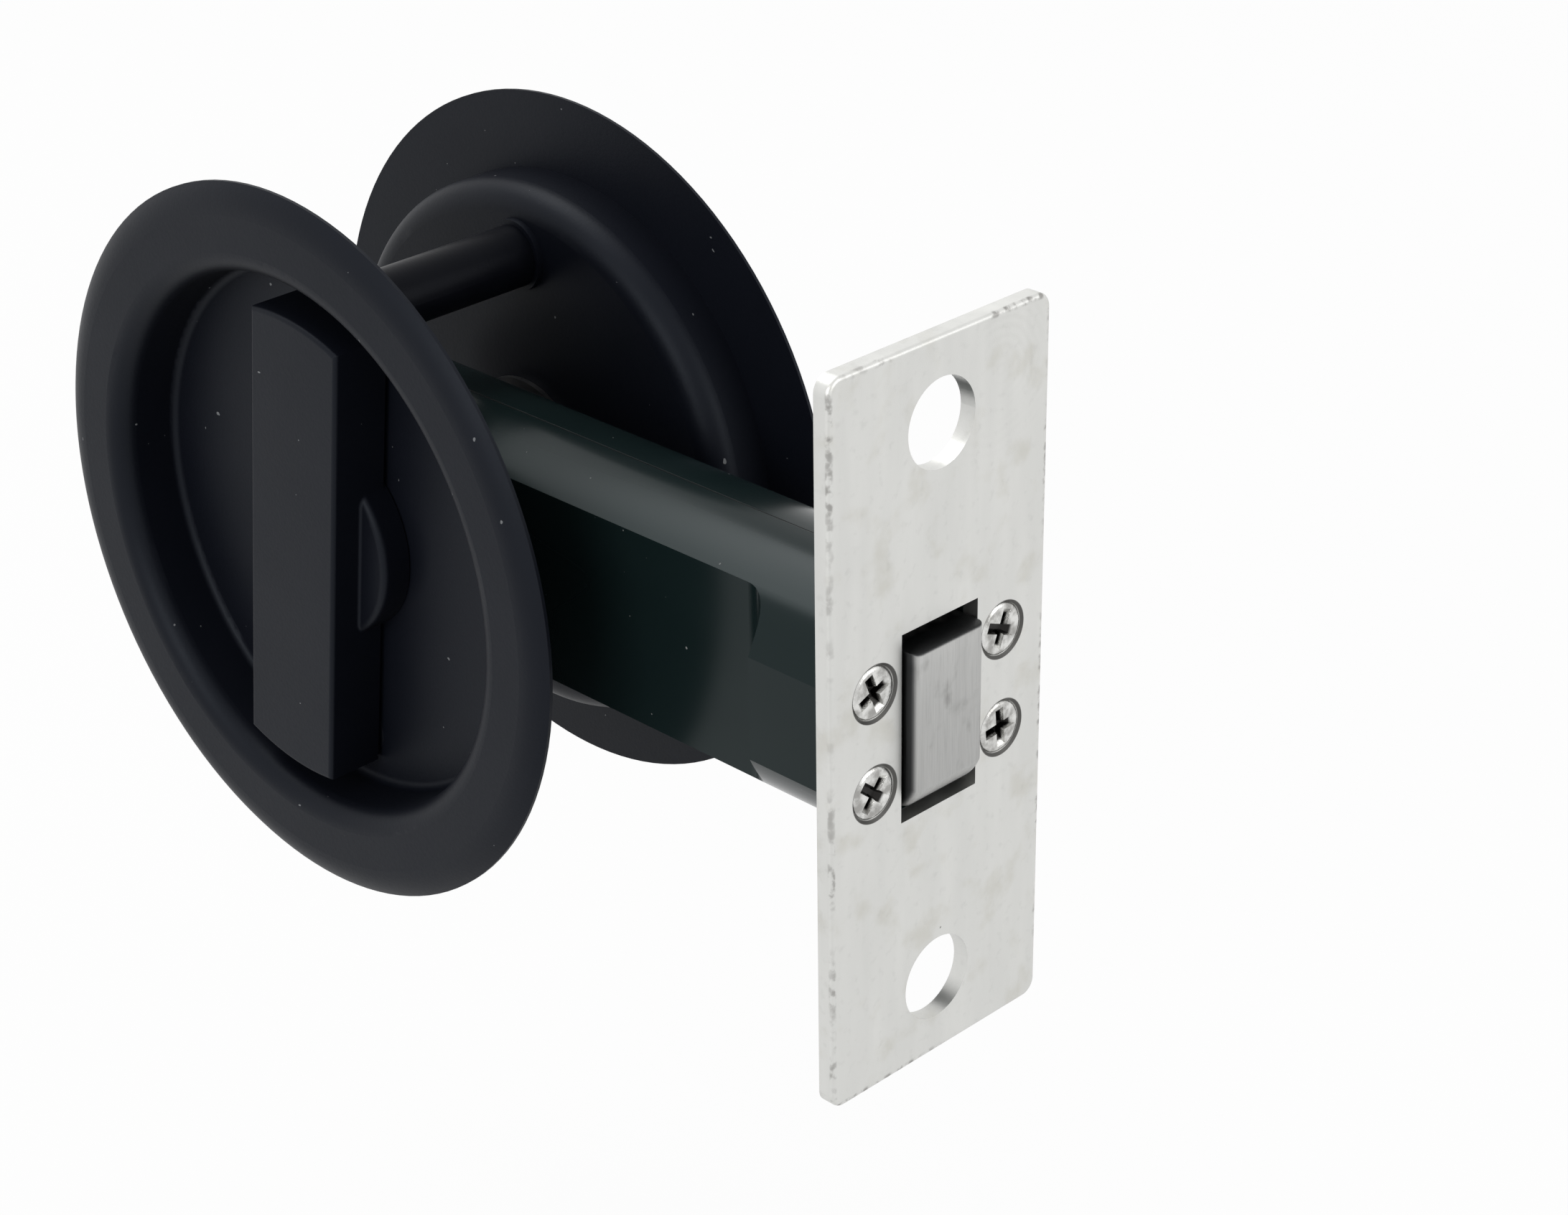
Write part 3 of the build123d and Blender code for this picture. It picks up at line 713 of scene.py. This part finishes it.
def screw_pattern():
    sizes = (
        "Head Radius", "Shank Radius", "Shank Length", "Rim Round",
        "Cross Width", "Cross Span", "Cross Depth",
    )
    round_sides = 64
    tree = Pattern("countersunk_screw", sizes, vectors=("Facing",))
    head, shank, length, rim, cross_width, cross_span, cross_depth = (tree.given[size] for size in sizes)

    def moved(shape, z=0.0, turn=0.0, scale=None):
        sockets = {"Geometry": shape, "Rotation": (0, 0, turn)}
        sockets["Translation"] = tree.add("ShaderNodeCombineXYZ", sockets={"Z": z})
        if scale:
            sockets["Scale"] = scale
        return tree.add("GeometryNodeTransform", sockets=sockets)

    def cone(fill, sides, top, bottom, height, z, turn=0.0):
        """A band of the screw, from one radius down to another, whose lower end is at z."""
        sockets = {"Vertices": sides, "Side Segments": 1}
        sockets |= {"Radius Top": top, "Radius Bottom": bottom, "Depth": height}
        return moved(tree.add("GeometryNodeMeshCone", {"fill_type": fill}, sockets), z=z, turn=turn)

    def disc(radius):
        sockets = {"Vertices": round_sides, "Radius": radius}
        return tree.add("GeometryNodeMeshCircle", {"fill_type": "NGON"}, sockets)

    def joined(*shapes):
        together = tree.add("GeometryNodeJoinGeometry")
        for shape in shapes:
            tree.tree.links.new(shape.output, together.output.node.inputs[0])
        return together

    # A flat lid, two shallow bands down to the rim, the cone under the head, the shank and its end
    lid_r, brow_r = head - 1.6 * rim, head - 0.6 * rim
    brow_low, rim_low = -0.25 * rim, -0.9 * rim
    cone_low = rim_low - (head - shank)
    end_low = cone_low - length
    sides = joined(
        cone("NONE", round_sides, lid_r, brow_r, 0.25 * rim, brow_low),
        cone("NONE", round_sides, brow_r, head, 0.65 * rim, rim_low),
        cone("NONE", round_sides, head, shank, head - shank, cone_low),
        cone("NONE", round_sides, shank, shank, length, end_low),
    )
    end_face = tree.add("GeometryNodeFlipFaces", sockets={"Mesh": moved(disc(shank), z=end_low)})
    whole = joined(sides, disc(lid_r), end_face)
    seam_gap = 0.005 * MM
    blank = tree.add("GeometryNodeMergeByDistance", sockets={"Geometry": whole, "Distance": seam_gap})

    # Two tapered wings, narrower at the foot, cut the cross
    wing_top, wing_foot = cross_span * 0.98, cross_span * 0.30
    wing = cone("NGON", 4, wing_top, wing_foot, 2 * cross_depth, -cross_depth, turn=pi / 4)
    thin = tree.add("ShaderNodeCombineXYZ", sockets={"X": 1.0, "Y": cross_width / cross_span, "Z": 1.0})
    along = moved(wing, scale=thin)
    across = moved(along, turn=pi / 2)
    exact = {"operation": "DIFFERENCE", "solver": "EXACT"}
    cut = tree.add("GeometryNodeMeshBoolean", exact, {"Mesh 1": blank})
    for cutting in (along, across):
        tree.tree.links.new(cutting.output, cut.output.node.inputs["Mesh 2"])
    smooth = tree.add("GeometryNodeSetShadeSmooth", sockets={"Geometry": cut})

    # One screw on each point, facing out and turned by the point's angle
    facing = {"Vector": tree.given["Facing"]}
    out = tree.add("FunctionNodeAlignRotationToVector", {"axis": "Z"}, facing)
    angle = tree.add(
        "GeometryNodeInputNamedAttribute", {"data_type": "FLOAT"}, {"Name": "turned"}, take="Attribute"
    )
    spin = tree.add("FunctionNodeAxisAngleToRotation", sockets={"Axis": (0, 0, 1), "Angle": angle})
    turned_out = {"Rotation": out, "Rotate By": spin}
    pose = tree.add("FunctionNodeRotateRotation", {"rotation_space": "LOCAL"}, turned_out)
    sockets = {"Points": tree.given["Geometry"], "Instance": smooth, "Rotation": pose}
    tree.close(tree.add("GeometryNodeInstanceOnPoints", sockets=sockets))
    return tree


screws = screw_pattern()
print("the tree has", len(screws.tree.nodes), "nodes")

# %% Put the screws on the plate and in the near pull
small_sink = 0.06
small_head_length = 1.3
small_sizes = {
    "Head Radius": 2.22,
    "Shank Radius": 0.95,
    "Shank Length": span("plate_screws").x - small_head_length,
    "Rim Round": 0.20,
    "Cross Width": 1.0,
    "Cross Span": 3.8,
    "Cross Depth": 0.75,
}
small_turns = (22, 68, 50, 5)
small_points = [(-small_sink, side * screw_y, up * screw_z) for up in (1, -1) for side in (-1, 1)]
small_values = {name: size * MM for name, size in small_sizes.items()}
small_values |= {"Finish": finishes["screw_nickel"], "Facing": (1.0, 0.0, 0.0)}
small = screws.grow("plate_screw_set", small_points, small_turns, small_values)
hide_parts("plate_screws")
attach(small, "lock")

large_head_length = 1.7
large_sizes = {
    "Head Radius": 3.2,
    "Shank Radius": 1.75,
    "Shank Length": span("rose_screws").y - large_head_length,
    "Rim Round": 0.15,
    "Cross Width": 1.1,
    "Cross Span": 4.4,
    "Cross Depth": 0.9,
}
large_turns = (30, 30)
post_z = 19.5
large_points = [(turn_x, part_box("rose_screws")[0].y / MM, side * post_z) for side in (1, -1)]
large_values = {name: size * MM for name, size in large_sizes.items()}
large_values |= {"Finish": finishes["black_coat"], "Facing": (0.0, -1.0, 0.0)}
large = screws.grow("rose_screw_set", large_points, large_turns, large_values)
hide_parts("rose_screws")
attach(large, "lock")

# %% [markdown]
# ## The room
# The lock floats over a plain pale floor in a white room. The camera sees the white by Light
# Path, so that no extra lamp has to burn the floor out, and polished metal sees the same white.

# %% Floor and white room
floor_drop = 70.0
floor_size = 2400.0
floor_colour = grey(0.80)
floor_seen = 0.95
room_light = 0.45
room_seen = 1.0


def seen_white(bench):
    """1 for rays from the camera and rays off or through the object, 0 for the light's own."""
    path = bench.add("ShaderNodeLightPath", take="Is Camera Ray")
    glossy = Wire(bench, path.output.node.outputs["Is Glossy Ray"])
    through = Wire(bench, path.output.node.outputs["Is Transmission Ray"])
    return path.math("MAXIMUM", path.math("MAXIMUM", path, glossy), through)


def floor_paper():
    paper = Finish("floor_paper")
    fibre = paper.noise(1.2, detail=3.0)
    matte_sockets = {"Color": floor_colour, "Normal": paper.relief(fibre, 0.01)}
    matte = paper.add("ShaderNodeBsdfDiffuse", sockets=matte_sockets)
    white = paper.add("ShaderNodeEmission", sockets={"Color": grey(1.0), "Strength": 1.0})
    share = seen_white(paper) * floor_seen
    paper.add_output(paper.add("ShaderNodeMixShader", sockets={0: share, 1: matte, 2: white}))
    return paper.material


bpy.ops.mesh.primitive_plane_add(size=floor_size * MM, location=(turn_x / 2 * MM, 0, -floor_drop * MM))
floor = bpy.context.object
floor.name = "floor"
floor.data.materials.append(floor_paper())

room = bpy.data.worlds.new("white_room")
room.use_nodes = True
bpy.context.scene.world = room
walls = Bench(room.node_tree)
room.node_tree.nodes.clear()
dim = walls.add("ShaderNodeBackground", sockets={"Color": grey(1.0), "Strength": room_light})
bright = walls.add("ShaderNodeBackground", sockets={"Color": grey(1.0), "Strength": room_seen})
mixed = walls.add("ShaderNodeMixShader", sockets={0: seen_white(walls), 1: dim, 2: bright})
world_output = room.node_tree.nodes.new("ShaderNodeOutputWorld")
room.node_tree.links.new(mixed.output, world_output.inputs["Surface"])
print("floor and room are set")

# %% [markdown]
# ## Light and camera
# Large soft panels do what a light tent does. One hangs above and behind the case and draws the
# streak along its top, one stands off to the right for the plate, and one lights the near pull.

# %% Soft panels
lock_middle = Vector((turn_x / 2, 0, 0))


def panel(name, azimuth, elevation, distance, width, height, watts):
    """A soft area light that faces the lock, placed by its angles around it."""
    up, around = radians(elevation), radians(azimuth)
    reach = Vector((cos(up) * cos(around), cos(up) * sin(around), sin(up)))
    data = bpy.data.lights.new(name, "AREA")
    data.shape = "RECTANGLE"
    data.size = width * MM
    data.size_y = height * MM
    data.energy = watts
    lamp = bpy.data.objects.new(name, data)
    lamp.location = (lock_middle + reach * distance) * MM
    lamp.rotation_euler = (-reach).to_track_quat("-Z", "Y").to_euler()
    bpy.context.scene.collection.objects.link(lamp)
    print(f"{name}: azimuth {azimuth}, elevation {elevation}, {watts} W")


panel("panel_above", azimuth=178, elevation=60, distance=700, width=520, height=300, watts=1.8)
panel("panel_right", azimuth=20, elevation=20, distance=800, width=500, height=500, watts=1.5)
panel("panel_front", azimuth=-78, elevation=22, distance=800, width=500, height=400, watts=2.1)

# %% Camera at the photograph's angle
image_width = 2184
image_height = 1693
focal_pixels = 4772.2
sensor_width = 36.0
eye = Vector((157.77, -174.88, 129.36))
view_azimuth = 44.99
view_elevation = 27.04
view_roll = -0.78

camera_data = bpy.data.cameras.new("camera")
camera_data.sensor_fit = "HORIZONTAL"
camera_data.sensor_width = sensor_width
camera_data.lens = focal_pixels / image_width * sensor_width
camera_data.clip_start = 10 * MM
camera_data.clip_end = 10000 * MM
camera = bpy.data.objects.new("camera", camera_data)
look = Vector((
    -sin(radians(view_azimuth)) * cos(radians(view_elevation)),
    cos(radians(view_azimuth)) * cos(radians(view_elevation)),
    -sin(radians(view_elevation)),
))
turn_to_look = look.to_track_quat("-Z", "Y").to_matrix().to_4x4()
roll = Matrix.Rotation(radians(view_roll), 4, "Z")
camera.matrix_world = Matrix.Translation(eye * MM) @ turn_to_look @ roll
bpy.context.scene.collection.objects.link(camera)
bpy.context.scene.camera = camera
bpy.context.scene.view_settings.view_transform = "Standard"
print(f"lens {camera_data.lens:.2f} mm for a picture of {image_width} by {image_height}")

# %% Finish
print("the scene is set")
